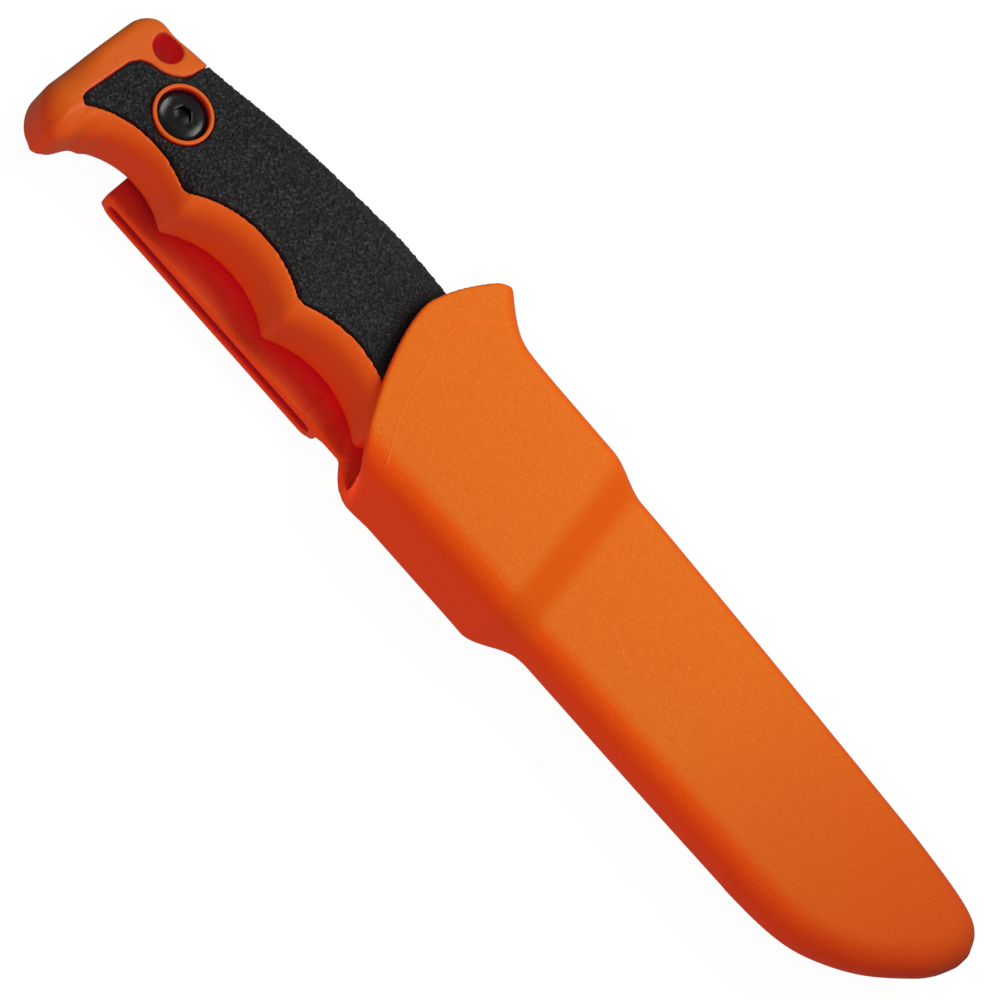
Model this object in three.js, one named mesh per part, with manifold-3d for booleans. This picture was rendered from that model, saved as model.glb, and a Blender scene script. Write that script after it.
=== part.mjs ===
// A fixed-blade knife with a two-colour grip, in its one-piece moulded belt sheath.
// Millimetres. While modelling, X runs from the pommel to the sheath tip, Y from the
// cutting edge to the spine, and Z out of the front face, with Z = 0 in the blade's middle.

import * as THREE from 'three';
import { mergeVertices } from 'three/addons/utils/BufferGeometryUtils.js';
import Module from 'manifold-3d';

const wasm = await Module();
wasm.setup();

// ---- driving dimensions ----

const GAP = 0.3; // clearance between pieces that touch

const HANDLE_END = 109; // front end of the handle, inside the sheath
const HANDLE_HALF = 7.65; // half thickness of the handle
const SPINE_RADIUS = 5.4; // rounding along the handle's back
const BELLY_RADIUS = 3.6; // rounding along the finger grooves
const END_ROUNDING = 2.6; // rounding of the pommel and of the front end
const POMMEL_START = 0.8; // X of the pommel face at its lowest corner
const POMMEL_SLANT = 0.05; // lean of the pommel face, X per Y
const POMMEL_SLANT_FROM = -15;
const POMMEL_FADE = 16; // length over which start and lean fade out
const GUARD_DEPTH = -16.3; // Y of the front finger guard
const HOOK_DEPTH = -17.9; // Y of the pommel hook at its outer corner
const HOOK_SLOPE = -0.45;
const HOOK_SLOPE_END = 6;
const HOOK_BLEND = 3; // how softly the hook runs into the first groove
const CREST_BLEND = 1.6; // how softly neighbouring grooves meet
const FINGER_GROOVES = [
  { x: 22.8, y: -9.5, radius: 15 },
  { x: 44.7, y: -7.1, radius: 19 },
  { x: 68, y: -7.3, radius: 19 },
  { x: 92, y: -7.8, radius: 19 },
];

const GRIP_THICKNESS = 1.4; // rubber layer over the core
const GRIP_END = 92; // where the rubber stops, inside the sheath
const GRIP_GROOVES = [
  { x: 21.3, y: -7.9, radius: 20 },
  { x: 44.6, y: -4.2, radius: 22 },
  { x: 68, y: -4.4, radius: 22 },
  { x: 91.8, y: -4.7, radius: 22 },
];

const SCREW_X = 19.5;
const SCREW_Y = -0.7;
const BOSS_RADIUS = 5.7; // bare core ring around the screw head
const BOSS_TOP = 8; // Z of the ring's face
const HEAD_RADIUS = 4.75;
const HEAD_HEIGHT = 2.6;
const HEAD_EDGE = 0.7; // straight side below the dome
const HEAD_FLAT_RADIUS = 2.2; // where the dome levels out
const SEAT_Z = 5; // Z that the head rests on
const SOCKET_ACROSS_FLATS = 3;
const SOCKET_DEPTH = 1.5;
const SCREW_RADIUS = 2.4;
const BARREL_RADIUS = 3.5;

const LANYARD_X = 9.25;
const LANYARD_Y = 6;
const LANYARD_RADIUS = 2.9;

const BLADE_HALF = 1.5;
const EDGE_HALF = 0.2;
const BLADE_HEEL = 110;
const BLADE_TIP = 207;
const TANG_START = 12.6;
const TANG_OVERLAP = 2; // how far the tang runs on into the blade
const GRIND_SHARE = 0.55; // share of the blade's height that is bevelled

const SHEATH_TIP = 215; // where the tip's rounding would close
const SHEATH_END = 214.9;
const HOLLOW_END = 211.2;
const SHEATH_BACK_START = 60; // the form starts here, before the mouth is cut
const POCKET_HALF = 10.1; // half thickness where the sheath holds the handle
const POCKET_BELLY = -18.95;
const POCKET_RADIUS = 4;
const MOUTH_FLARE = 0.4; // the belly wall stands out this much at the mouth
const POCKET_WALL = 2;
const SCABBARD_HALF = 5.6; // half thickness where it holds the blade
const SCABBARD_TIP_HALF = 4.9;
const SCABBARD_BELLY = -16.2;
const SCABBARD_RADIUS = 3.6;
const SCABBARD_WALL = 2.4;
const STEP_X = 119; // slanted step between the two
const STEP_HALF_WIDTH = 4.6;
const STEP_SLANT = 0.155;
const BELLY_STEP_START = 116;
const BELLY_STEP_END = 128;
const TIP_FADE = 8; // length over which the tip rounds off
const TIP_SHARPNESS = 0.98; // 1 would bring the tip to an edge
const TIP_BELLY_FROM = 178; // from here the belly curves up to the tip
const LIP_FROM = 19.45; // above this Y the spine wall flares into a lip
const LIP_THICKENING = 0.45; // how much of that flare the hollow does not follow
const RIM_DIP = 5; // how far the mouth's edge dips on the belly wall
const RIM_DIP_Z = -4;
const RIM_DIP_REACH = 11;

const LOOP_START = 20.7;
const LOOP_END = 75;
const LOOP_TOP = -8.3; // Z of the strap behind the handle
const STRAP = 1.8;
const BELT_GAP = 4.2;
const LOOP_HALF_WIDTH = 12.9;
const LOOP_TAPER = 0.27; // the loop narrows towards its back, Y per Z
const LOOP_CORNER = 3.5;
const SLOT_CORNER = 1.2;
const PLATE_END = 92;

const PAST_ALL = 20; // Z beyond every piece, for cuts that go right through
const RING_STEPS = 4; // segments in each rounded corner of a section
const CIRCLE_STEPS = 32;

// ---- small maths ----

const mix = (a, b, t) => a + (b - a) * t;

function smoothstep(from, to, x) {
  const t = Math.min(Math.max((x - from) / (to - from), 0), 1);
  return t * t * (3 - 2 * t);
}

function smoothMax(a, b, blend) {
  const h = Math.max(blend - Math.abs(a - b), 0) / blend;
  return Math.max(a, b) + h * h * blend * 0.25;
}

// A smooth function through points whose first numbers rise.
function curve(points) {
  const slopeAt = (i) => {
    const before = points[Math.max(i - 1, 0)];
    const after = points[Math.min(i + 1, points.length - 1)];
    return (after[1] - before[1]) / (after[0] - before[0]);
  };
  return (x) => {
    const last = points.length - 2;
    let i = 0;
    while (i < last && x > points[i + 1][0]) i += 1;
    const [x0, y0] = points[i];
    const [x1, y1] = points[i + 1];
    const t = Math.min(Math.max((x - x0) / (x1 - x0), 0), 1);
    const span = x1 - x0;
    const t2 = t * t;
    const t3 = t2 * t;
    return (2 * t3 - 3 * t2 + 1) * y0 + (t3 - 2 * t2 + t) * span * slopeAt(i)
      + (3 * t2 - 2 * t3) * y1 + (t3 - t2) * span * slopeAt(i + 1);
  };
}

function stationsBetween(from, to, spacing) {
  const count = Math.max(Math.round(Math.abs(to - from) / spacing), 1);
  return Array.from({ length: count + 1 }, (_, i) => mix(from, to, i / count));
}

// ---- meshes and solids ----

// Joins rings of equally many points into one closed skin with flat ends.
function loft(rings) {
  const count = rings[0].length;
  const positions = rings.flat().flatMap((p) => [p.x, p.y, p.z]);
  const indices = [];
  for (let ring = 0; ring + 1 < rings.length; ring += 1) {
    for (let i = 0; i < count; i += 1) {
      const a = ring * count + i;
      const b = ring * count + ((i + 1) % count);
      indices.push(a, b, b + count, a, b + count, a + count);
    }
  }
  const firstRing = 0;
  const lastRing = (rings.length - 1) * count;
  for (const [a, b, c] of capTriangles(rings[0])) {
    indices.push(firstRing + a, firstRing + c, firstRing + b);
  }
  for (const [a, b, c] of capTriangles(rings[rings.length - 1])) {
    indices.push(lastRing + a, lastRing + b, lastRing + c);
  }
  const geometry = new THREE.BufferGeometry();
  geometry.setAttribute('position', new THREE.Float32BufferAttribute(positions, 3));
  geometry.setIndex(indices);
  return facingOut(geometry);
}

function capTriangles(ring) {
  const level = ring.every((p) => p.z === ring[0].z);
  const outline = ring.map((p) => (level ? new THREE.Vector2(p.x, p.y) : new THREE.Vector2(p.y, p.z)));
  const turned = THREE.ShapeUtils.isClockWise(outline);
  const faces = THREE.ShapeUtils.triangulateShape(turned ? outline.slice().reverse() : outline, []);
  const last = ring.length - 1;
  return turned ? faces.map(([a, b, c]) => [last - a, last - c, last - b]) : faces;
}

function signedVolume(geometry) {
  const p = geometry.attributes.position;
  const index = geometry.index.array;
  const [a, b, c] = [new THREE.Vector3(), new THREE.Vector3(), new THREE.Vector3()];
  let total = 0;
  for (let i = 0; i < index.length; i += 3) {
    a.fromBufferAttribute(p, index[i]);
    b.fromBufferAttribute(p, index[i + 1]);
    c.fromBufferAttribute(p, index[i + 2]);
    total += a.dot(b.cross(c));
  }
  return total;
}

function facingOut(geometry) {
  if (signedVolume(geometry) < 0) {
    geometry.setIndex(Array.from(geometry.index.array).reverse());
  }
  return geometry;
}

function solid(geometry) {
  const bare = geometry.clone();
  bare.deleteAttribute('normal');
  bare.deleteAttribute('uv');
  const merged = mergeVertices(bare, 1e-4);
  const index = merged.index.array;
  const corners = [];
  for (let i = 0; i < index.length; i += 3) {
    const [a, b, c] = [index[i], index[i + 1], index[i + 2]];
    if (a !== b && b !== c && c !== a) corners.push(a, b, c);
  }
  return new wasm.Manifold(new wasm.Mesh({
    numProp: 3,
    vertProperties: merged.attributes.position.array,
    triVerts: new Uint32Array(corners),
  }));
}

function geometryOf(manifold) {
  const mesh = manifold.getMesh();
  const geometry = new THREE.BufferGeometry();
  geometry.setAttribute('position', new THREE.Float32BufferAttribute(mesh.vertProperties, 3));
  geometry.setIndex(Array.from(mesh.triVerts));
  geometry.computeVertexNormals();
  return geometry;
}

// A prism of an outline in X and Y, between two heights.
function prism(points, bottom, top) {
  const shape = new THREE.Shape(points.map(([x, y]) => new THREE.Vector2(x, y)));
  const geometry = new THREE.ExtrudeGeometry(shape, { depth: top - bottom, bevelEnabled: false });
  geometry.translate(0, 0, bottom);
  return solid(geometry);
}

// A round rod along Z around a point in X and Y.
function rod(x, y, radius, bottom, top, steps = CIRCLE_STEPS) {
  const geometry = new THREE.CylinderGeometry(radius, radius, top - bottom, steps);
  geometry.rotateX(Math.PI / 2);
  geometry.translate(x, y, (top + bottom) / 2);
  return solid(geometry);
}

// Moves each edge of an outline outwards; the outline runs anticlockwise.
function grow(points, distance) {
  const count = points.length;
  return points.map(([x, y], i) => {
    const before = points[(i + count - 1) % count];
    const after = points[(i + 1) % count];
    const inward = new THREE.Vector2(x - before[0], y - before[1]).normalize();
    const outward = new THREE.Vector2(after[0] - x, after[1] - y).normalize();
    const normal = new THREE.Vector2(inward.y + outward.y, -inward.x - outward.x).normalize();
    const reach = distance / Math.max(normal.dot(new THREE.Vector2(inward.y, -inward.x)), 0.5);
    return [x + normal.x * reach, y + normal.y * reach];
  });
}

// The four rounded corners of a section at one X, as unit turns: Y side, Z side, angle.
function sectionRing(top, bottom, topRadius, bottomRadius, halfAt, xAt) {
  const corners = [
    { y: 1, z: 1, radius: topRadius, from: 0 },
    { y: 1, z: -1, radius: topRadius, from: 1 },
    { y: -1, z: -1, radius: bottomRadius, from: 0 },
    { y: -1, z: 1, radius: bottomRadius, from: 1 },
  ];
  return corners.flatMap((corner) => {
    const edge = corner.y > 0 ? top : bottom;
    return Array.from({ length: RING_STEPS + 1 }, (_, i) => {
      const turn = (corner.from ? RING_STEPS - i : i) / RING_STEPS * Math.PI / 2;
      const y = edge - corner.y * corner.radius * (1 - Math.sin(turn));
      const z = corner.z * (halfAt(y) - corner.radius * (1 - Math.cos(turn)));
      return new THREE.Vector3(xAt(y), y, z);
    });
  });
}

// ---- handle ----

const handleSpine = curve([[0, 9.3], [4.5, 9.7], [9, 10.7], [18, 11.9], [35, 14.9],
  [57, 17], [64, 17.1], [81, 16.5], [109, 15.8]]);

function grooveArc(groove, x) {
  const across = x - groove.x;
  if (Math.abs(across) >= groove.radius) return -Infinity;
  return groove.y - groove.radius + Math.sqrt(groove.radius ** 2 - across ** 2);
}

function handleBelly(x) {
  const hook = HOOK_DEPTH + HOOK_SLOPE * Math.min(x, HOOK_SLOPE_END);
  const limit = x < FINGER_GROOVES[1].x ? hook : GUARD_DEPTH;
  return FINGER_GROOVES.reduce((y, groove, i) => (
    smoothMax(y, grooveArc(groove, x), i === 0 ? HOOK_BLEND : CREST_BLEND)), limit);
}

// How far the section has drawn in at a distance from a rounded end.
function endInset(distance) {
  const into = Math.max(END_ROUNDING - distance, 0);
  return END_ROUNDING - Math.sqrt(END_ROUNDING ** 2 - into ** 2);
}

function handleRing(x, inset) {
  const drawnIn = inset + endInset(Math.min(x, HANDLE_END - x));
  const top = handleSpine(x) - drawnIn;
  const bottom = handleBelly(x) + drawnIn;
  const half = HANDLE_HALF - drawnIn;
  const nearPommel = 1 - smoothstep(0, POMMEL_FADE, x);
  return sectionRing(
    top,
    bottom,
    Math.max(SPINE_RADIUS - drawnIn, 1),
    Math.max(BELLY_RADIUS - drawnIn, 1),
    () => half,
    (y) => x + nearPommel * (POMMEL_START + POMMEL_SLANT * Math.max(y - POMMEL_SLANT_FROM, 0)),
  );
}

function handleForm(inset) {
  const stations = [
    0, 0.3, 0.9, 1.7, 2.6, 4.5, 6.2, 7.2, 8, 8.8, 9.6, 10.6, 12, 14, 17, 20.5, 24, 27, 29.5,
    31, 32.3, 33.6, 35.5, 38, 41, 44.7, 48.5, 51.5, 53.8, 55.2, 56.3, 57.6, 59.5, 62, 65, 68,
    71.5, 74.5, 77.2, 79, 80.3, 81.8, 84, 88, 92, 96, 100, 103, 105.2, 107, 108.1, 109,
  ];
  return solid(loft(stations.map((x) => handleRing(x, inset))));
}

// The rubber's window, seen from the front; it runs on over the spine to the back.
function gripOutline() {
  const beyondSpine = 24;
  const lowerEdge = stationsBetween(8.8, GRIP_END, 1.7).map((x) => [
    x,
    GRIP_GROOVES.reduce((y, groove) => smoothMax(y, grooveArc(groove, x), CREST_BLEND), -14),
  ]);
  const pommelSide = [
    [15.8, beyondSpine], [15.8, 9.3], [15.5, 6], [14.8, 4.3], [13.5, 2.9], [11.7, 1.8],
    [9.2, 1.1], [7.8, 0.2], [6.9, -1.6], [6.1, -11.7], [6.4, -12.9], [7.5, -13.4],
  ];
  return [...lowerEdge, [GRIP_END, beyondSpine], ...pommelSide];
}

function gripOvermould() {
  const window = prism(gripOutline(), -PAST_ALL, PAST_ALL);
  const boss = rod(SCREW_X, SCREW_Y, BOSS_RADIUS + GAP, -PAST_ALL, PAST_ALL);
  return handleForm(0).intersect(window).subtract(handleForm(GRIP_THICKNESS)).subtract(boss);
}

function handleCore() {
  const window = prism(grow(gripOutline(), GAP), -PAST_ALL, PAST_ALL);
  const rubberSpace = window.subtract(handleForm(GRIP_THICKNESS + GAP));
  const tangSpace = prism(grow(tangOutline(), GAP), -BLADE_HALF - GAP, BLADE_HALF + GAP);
  const bossRod = rod(SCREW_X, SCREW_Y, BOSS_RADIUS, -BOSS_TOP, BOSS_TOP);
  let core = handleForm(0).subtract(rubberSpace).add(bossRod).subtract(tangSpace);
  core = core.subtract(rod(SCREW_X, SCREW_Y, BARREL_RADIUS + GAP, -PAST_ALL, PAST_ALL));
  for (const [bottom, top] of [[SEAT_Z - GAP, PAST_ALL], [-PAST_ALL, GAP - SEAT_Z]]) {
    core = core.subtract(rod(SCREW_X, SCREW_Y, HEAD_RADIUS + GAP, bottom, top));
  }
  return core.subtract(rod(LANYARD_X, LANYARD_Y, LANYARD_RADIUS, -PAST_ALL, PAST_ALL));
}

// ---- blade ----

function tangOutline() {
  const end = BLADE_HEEL + TANG_OVERLAP;
  return [[TANG_START, -4.6], [30, -4.6], [100, -5.5], [end, -5.5], [end, 11.5], [96, 11.5],
    [30, 5.4], [TANG_START, 5]];
}

const bladeSpine = curve([[110, 13.3], [140, 13.2], [170, 12.6], [190, 11], [207, 6.4]]);
const bladeEdge = curve([[110, -11.4], [160, -11.8], [178, -10.4], [192, -5.8], [201, 0.4], [207, 5.4]]);

function blade() {
  const rings = stationsBetween(BLADE_HEEL, BLADE_TIP, 4).map((x) => {
    const top = bladeSpine(x);
    const bottom = bladeEdge(x);
    const shoulder = mix(bottom, top, GRIND_SHARE);
    const half = mix(EDGE_HALF, BLADE_HALF, smoothstep(0, 12, top - bottom));
    return [[top, half], [top, -half], [shoulder, -half], [bottom, -EDGE_HALF],
      [bottom, EDGE_HALF], [shoulder, half]].map(([y, z]) => new THREE.Vector3(x, y, z));
  });
  const tang = prism(tangOutline(), -BLADE_HALF, BLADE_HALF);
  const hole = rod(SCREW_X, SCREW_Y, BARREL_RADIUS + GAP, -5, 5);
  return solid(loft(rings)).add(tang).subtract(hole);
}

// ---- screw and barrel nut ----

function buttonHead() {
  const domeSteps = 6;
  const domeHeight = HEAD_HEIGHT - HEAD_EDGE;
  const profile = [new THREE.Vector2(0, 0), new THREE.Vector2(HEAD_RADIUS, 0)];
  for (let i = 0; i <= domeSteps; i += 1) {
    const turn = (i / domeSteps) * (Math.PI / 2);
    profile.push(new THREE.Vector2(
      mix(HEAD_FLAT_RADIUS, HEAD_RADIUS, Math.cos(turn)),
      HEAD_EDGE + domeHeight * Math.sin(turn),
    ));
  }
  profile.push(new THREE.Vector2(0, HEAD_HEIGHT));
  const geometry = new THREE.LatheGeometry(profile, CIRCLE_STEPS);
  geometry.rotateX(Math.PI / 2);
  geometry.translate(SCREW_X, SCREW_Y, SEAT_Z);
  const socketRadius = SOCKET_ACROSS_FLATS / Math.sqrt(3);
  const socketFloor = SEAT_Z + HEAD_HEIGHT - SOCKET_DEPTH;
  const socket = rod(SCREW_X, SCREW_Y, socketRadius, socketFloor, PAST_ALL, 6);
  return solid(geometry).subtract(socket);
}

function handleScrew() {
  return buttonHead().add(rod(SCREW_X, SCREW_Y, SCREW_RADIUS, -2, SEAT_Z + 0.5));
}

function barrelNut() {
  const barrel = rod(SCREW_X, SCREW_Y, BARREL_RADIUS, -SEAT_Z - 0.5, SEAT_Z - GAP);
  const bore = rod(SCREW_X, SCREW_Y, SCREW_RADIUS + GAP, -2.5, PAST_ALL);
  return buttonHead().mirror([0, 0, 1]).add(barrel).subtract(bore);
}

// ---- sheath ----

const sheathSpine = curve([[60, 25.6], [78.2, 25.4], [80.2, 24], [82.6, 22.1], [86, 20.1], [89.5, 19.4],
  [104, 19], [122, 18.7], [162, 17.1], [196, 15.7], [205.5, 15.2], [210.6, 14], [213.3, 12],
  [214.9, 8.8]]);
const sheathTipBelly = curve([[170, -16.2], [181, -16.2], [190.8, -15.2], [198, -12.6], [205.2, -7.9],
  [211.5, -1], [213.6, 2.4], [214.9, 6.2]]);

function sheathBelly(x) {
  if (x > TIP_BELLY_FROM) return sheathTipBelly(x);
  const flare = MOUTH_FLARE * (1 - smoothstep(88, 93, x));
  return mix(POCKET_BELLY, SCABBARD_BELLY, smoothstep(BELLY_STEP_START, BELLY_STEP_END, x)) - flare;
}

function sheathHalf(x, y) {
  const past = smoothstep(STEP_X - STEP_HALF_WIDTH, STEP_X + STEP_HALF_WIDTH, x + STEP_SLANT * y);
  const scabbard = mix(SCABBARD_HALF, SCABBARD_TIP_HALF, smoothstep(150, 210, x));
  const towardsTip = Math.max(x - (SHEATH_TIP - TIP_FADE), 0) / TIP_FADE;
  return mix(POCKET_HALF, scabbard, past) * Math.sqrt(1 - towardsTip ** 2 * TIP_SHARPNESS);
}

// One section of the sheath's outer form, or of its hollow when a wall is taken off.
function sheathRing(x, wallAt) {
  const wall = wallAt(x);
  const ahead = x + wall * smoothstep(180, 200, x);
  const mouthLip = Math.max(sheathSpine(x) - LIP_FROM, 0) * (wall > 0 ? LIP_THICKENING : 0);
  const top = sheathSpine(ahead) - wall - mouthLip;
  const bottom = sheathBelly(ahead) + wall;
  const radius = mix(POCKET_RADIUS, SCABBARD_RADIUS, smoothstep(110, 125, x)) - wall * 0.6;
  const smallest = Math.min(sheathHalf(ahead, 0) - wall, (top - bottom) / 2);
  const corner = Math.min(radius, smallest * 0.9);
  return sectionRing(top, bottom, corner, corner, (y) => sheathHalf(ahead, y) - wall, () => x);
}

function sheathForm(end, wallAt) {
  const stations = [
    SHEATH_BACK_START, 70, 76, 78.2, 79.2, 80.4, 82.6, 84.8, 87.5, 90, 93, 103, 109.5, 111.5,
    113.3, 115, 117, 119, 121, 123, 125.5, 128, 134, 145, 158, 170, 181, 186, 191, 195, 198.5, 202, 205, 207.5,
    209.5, 211.2, 212.5, 213.5, 214.3, 214.9,
  ].filter((x) => x < end);
  return solid(loft([...stations, end].map((x) => sheathRing(x, wallAt))));
}

const rimFront = curve([[-24, 82.6], [-19.5, 82], [-16.2, 80.6], [-12.6, 78.7], [-5.9, 75.2],
  [2.5, 72], [8.6, 70.8], [11.9, 71.2], [16.9, 72.9], [22, 75.6], [25.4, 78.1], [30, 81]]);
const rimBack = curve([[-24, 81], [-19, 81.5], [-15.5, 81.6], [-12.9, 80.3], [-10, 78.5], [0, 74.5],
  [10, 74], [20, 75.5], [30, 81]]);

// X of the mouth's edge. It dips furthest on the belly wall.
function rimX(y, z) {
  const front = smoothstep(-10, 10, z);
  const dip = RIM_DIP * Math.max(1 - ((z - RIM_DIP_Z) / RIM_DIP_REACH) ** 2, 0);
  return mix(rimBack(y), rimFront(y), front) + dip * smoothstep(-12.5, -17.5, y);
}

// Everything on the pommel side of the mouth's edge.
function mouthCutter() {
  const start = 40; // clear of the sheath's own form
  const heights = stationsBetween(-12, 12, 2);
  const across = stationsBetween(30, -24, 2.25);
  return solid(loft(heights.map((z) => [
    new THREE.Vector3(start, 30, z),
    ...across.map((y) => new THREE.Vector3(rimX(y, z), y, z)),
    new THREE.Vector3(start, -24, z),
  ])));
}

// An upright rectangle with rounded corners, anticlockwise, as points.
function roundedRectangle(left, bottom, right, top, bottomRadius, topRadius) {
  const corners = [
    { x: right, y: top, radius: topRadius, start: 0 },
    { x: left, y: top, radius: topRadius, start: Math.PI / 2 },
    { x: left, y: bottom, radius: bottomRadius, start: Math.PI },
    { x: right, y: bottom, radius: bottomRadius, start: 1.5 * Math.PI },
  ];
  return corners.flatMap(({ x, y, radius, start }) => {
    const centreX = x + (x === right ? -radius : radius);
    const centreY = y + (y === top ? -radius : radius);
    return Array.from({ length: RING_STEPS + 1 }, (_, i) => {
      const turn = start + (i / RING_STEPS) * (Math.PI / 2);
      return new THREE.Vector2(centreX + radius * Math.cos(turn), centreY + radius * Math.sin(turn));
    });
  });
}

// A solid strip drawn in X and Z and run across in Y; it narrows towards the back.
function crossStrip(outline, halfWidth) {
  const geometry = new THREE.ExtrudeGeometry(new THREE.Shape(outline), {
    depth: 2 * halfWidth, bevelEnabled: false });
  geometry.translate(0, 0, -halfWidth);
  const p = geometry.attributes.position;
  for (let i = 0; i < p.count; i += 1) {
    const depth = Math.max(LOOP_TOP - STRAP - p.getY(i), 0);
    const narrower = 1 - (LOOP_TAPER * depth) / LOOP_HALF_WIDTH;
    p.setXYZ(i, p.getX(i), -p.getZ(i) * narrower, p.getY(i));
  }
  return solid(geometry);
}

// The closed belt tunnel behind the handle.
function beltLoop() {
  const back = LOOP_TOP - 2 * STRAP - BELT_GAP;
  const outer = roundedRectangle(LOOP_START, back, LOOP_END, LOOP_TOP, LOOP_CORNER, 0.6);
  const slot = roundedRectangle(LOOP_START + STRAP, back + STRAP, LOOP_END - STRAP, LOOP_TOP - STRAP,
    SLOT_CORNER, SLOT_CORNER);
  return crossStrip(outer, LOOP_HALF_WIDTH).subtract(crossStrip(slot, LOOP_HALF_WIDTH + 2));
}

function backPlate() {
  const outline = [[LOOP_END - 4, -LOOP_HALF_WIDTH], [PLATE_END, -LOOP_HALF_WIDTH],
    [PLATE_END, LOOP_HALF_WIDTH], [LOOP_END - 4, LOOP_HALF_WIDTH]];
  return prism(outline, LOOP_TOP - STRAP, LOOP_TOP);
}

function sheathBody() {
  const noWall = () => 0;
  const wall = (x) => mix(POCKET_WALL, SCABBARD_WALL, smoothstep(110, 125, x));
  return sheathForm(SHEATH_END, noWall)
    .subtract(sheathForm(HOLLOW_END, wall))
    .subtract(mouthCutter())
    .add(backPlate())
    .add(beltLoop());
}

// ---- the assembly ----

const MATERIALS = {
  sheathPlastic: { color: 0xe56a1c, roughness: 0.5, metalness: 0 },
  corePlastic: { color: 0xdd5a1e, roughness: 0.45, metalness: 0 },
  rubber: { color: 0x262626, roughness: 0.8, metalness: 0 },
  steel: { color: 0xb9bcc0, roughness: 0.3, metalness: 1 },
  blackOxide: { color: 0x1b1b1d, roughness: 0.35, metalness: 0.9 },
};

function piece(name, manifold, material) {
  const mesh = new THREE.Mesh(geometryOf(manifold), new THREE.MeshStandardMaterial(material));
  mesh.name = name;
  return mesh;
}

const knife = new THREE.Group();
knife.add(
  piece('blade', blade(), MATERIALS.steel),
  piece('handle_core', handleCore(), MATERIALS.corePlastic),
  piece('grip_overmould', gripOvermould(), MATERIALS.rubber),
  piece('handle_screw', handleScrew(), MATERIALS.blackOxide),
  piece('barrel_nut', barrelNut(), MATERIALS.blackOxide),
);

const model = new THREE.Group();
model.add(knife, piece('sheath_body', sheathBody(), MATERIALS.sheathPlastic));

// The origin goes to the middle of the box's underside.
const box = new THREE.Box3().setFromObject(model);
model.position.set(-(box.min.x + box.max.x) / 2, -(box.min.y + box.max.y) / 2, -box.min.z);

export default model;
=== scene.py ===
"""A sheathed boat knife: a two-colour moulded grip in a one-piece belt sheath.

The moulded forms are fields sampled in millimetres on the part's own axes: X from the
pommel to the sheath's tip, Y from the cutting edge to the spine, Z out of the front, with
Z = 0 in the blade's middle. A field is negative inside. Its skin is then moved to the frame.
"""

import math

import bpy
import numpy as np
from mathutils import Matrix, Vector


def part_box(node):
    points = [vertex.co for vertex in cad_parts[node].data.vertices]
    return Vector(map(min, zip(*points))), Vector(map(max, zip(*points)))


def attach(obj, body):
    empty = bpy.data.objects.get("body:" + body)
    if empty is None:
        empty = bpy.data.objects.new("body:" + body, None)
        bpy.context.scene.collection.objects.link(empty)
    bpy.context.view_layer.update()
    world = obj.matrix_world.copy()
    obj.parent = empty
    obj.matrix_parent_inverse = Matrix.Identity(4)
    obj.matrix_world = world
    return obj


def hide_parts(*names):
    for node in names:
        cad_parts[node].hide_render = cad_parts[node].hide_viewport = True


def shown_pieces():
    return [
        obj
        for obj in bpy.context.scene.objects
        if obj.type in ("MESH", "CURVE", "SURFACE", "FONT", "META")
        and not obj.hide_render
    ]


# ---- dimensions ----
#
# In millimetres. A pair in brackets is the range over which one form fades into another.

HANDLE_END = 109.0
HANDLE_HALF = 7.65
SPINE_RADIUS = 5.4
BELLY_RADIUS = 5.2
BELLY_TO_SPINE = (-6, 6)
END_RADIUS = 2.6
END_FADE = 8
POMMEL_CORNER = 4.9
HOOK_CORNER = 4.3
POMMEL_EDGE = 2.0
HOOK_TO_POMMEL = (-12, -2)
POMMEL_TO_GRIP = (1.5, 8)
POMMEL_START = 0.65
POMMEL_SLANT = 0.055
POMMEL_SLANT_FROM = -15.0
POMMEL_FADE = 16.0
GUARD_DEPTH = -16.9
HOOK_DEPTH = -18.2
HOOK_SLOPE = -0.45
HOOK_SLOPE_END = 6.0
HOOK_BLEND = 3.0
CREST_BLEND = 1.6
FINGER_GROOVES = [(22.8, -10.35, 15), (44.7, -7.75, 19), (68, -7.95, 19), (92, -8.45, 19)]
RIPPLE_PITCH = 3.0
RIPPLE_HEIGHT = 0.2
RIPPLE_CREST = 8
RIPPLES_START = (5, 8)
RIPPLES_END = (16, 19)
RIPPLES_TOP = (-15, -12)

GRIP_THICKNESS = 1.4
GRIP_START = 8.8
GRIP_END = 92.0
GRIP_LOWEST = -14.0
GRIP_GROOVES = [(21.3, -7.9, 20), (44.6, -4.2, 22), (68, -4.4, 22), (91.8, -4.7, 22)]
BEYOND_SPINE = 24
SEAM = 0.1
CORE_SEAM_ROUNDING = 0.3
RUBBER_SEAM_ROUNDING = 0.35
PEBBLE_PITCH = 0.75
PEBBLE_HEIGHT = 0.26
PEBBLE_MIDDLE = 0.55
PEBBLE_VALLEY = 0.5
PEBBLE_SEED = 7
PEBBLE_TILE = 24
GRAIN_TO_EDGE = (-1.4, -0.5)

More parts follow.
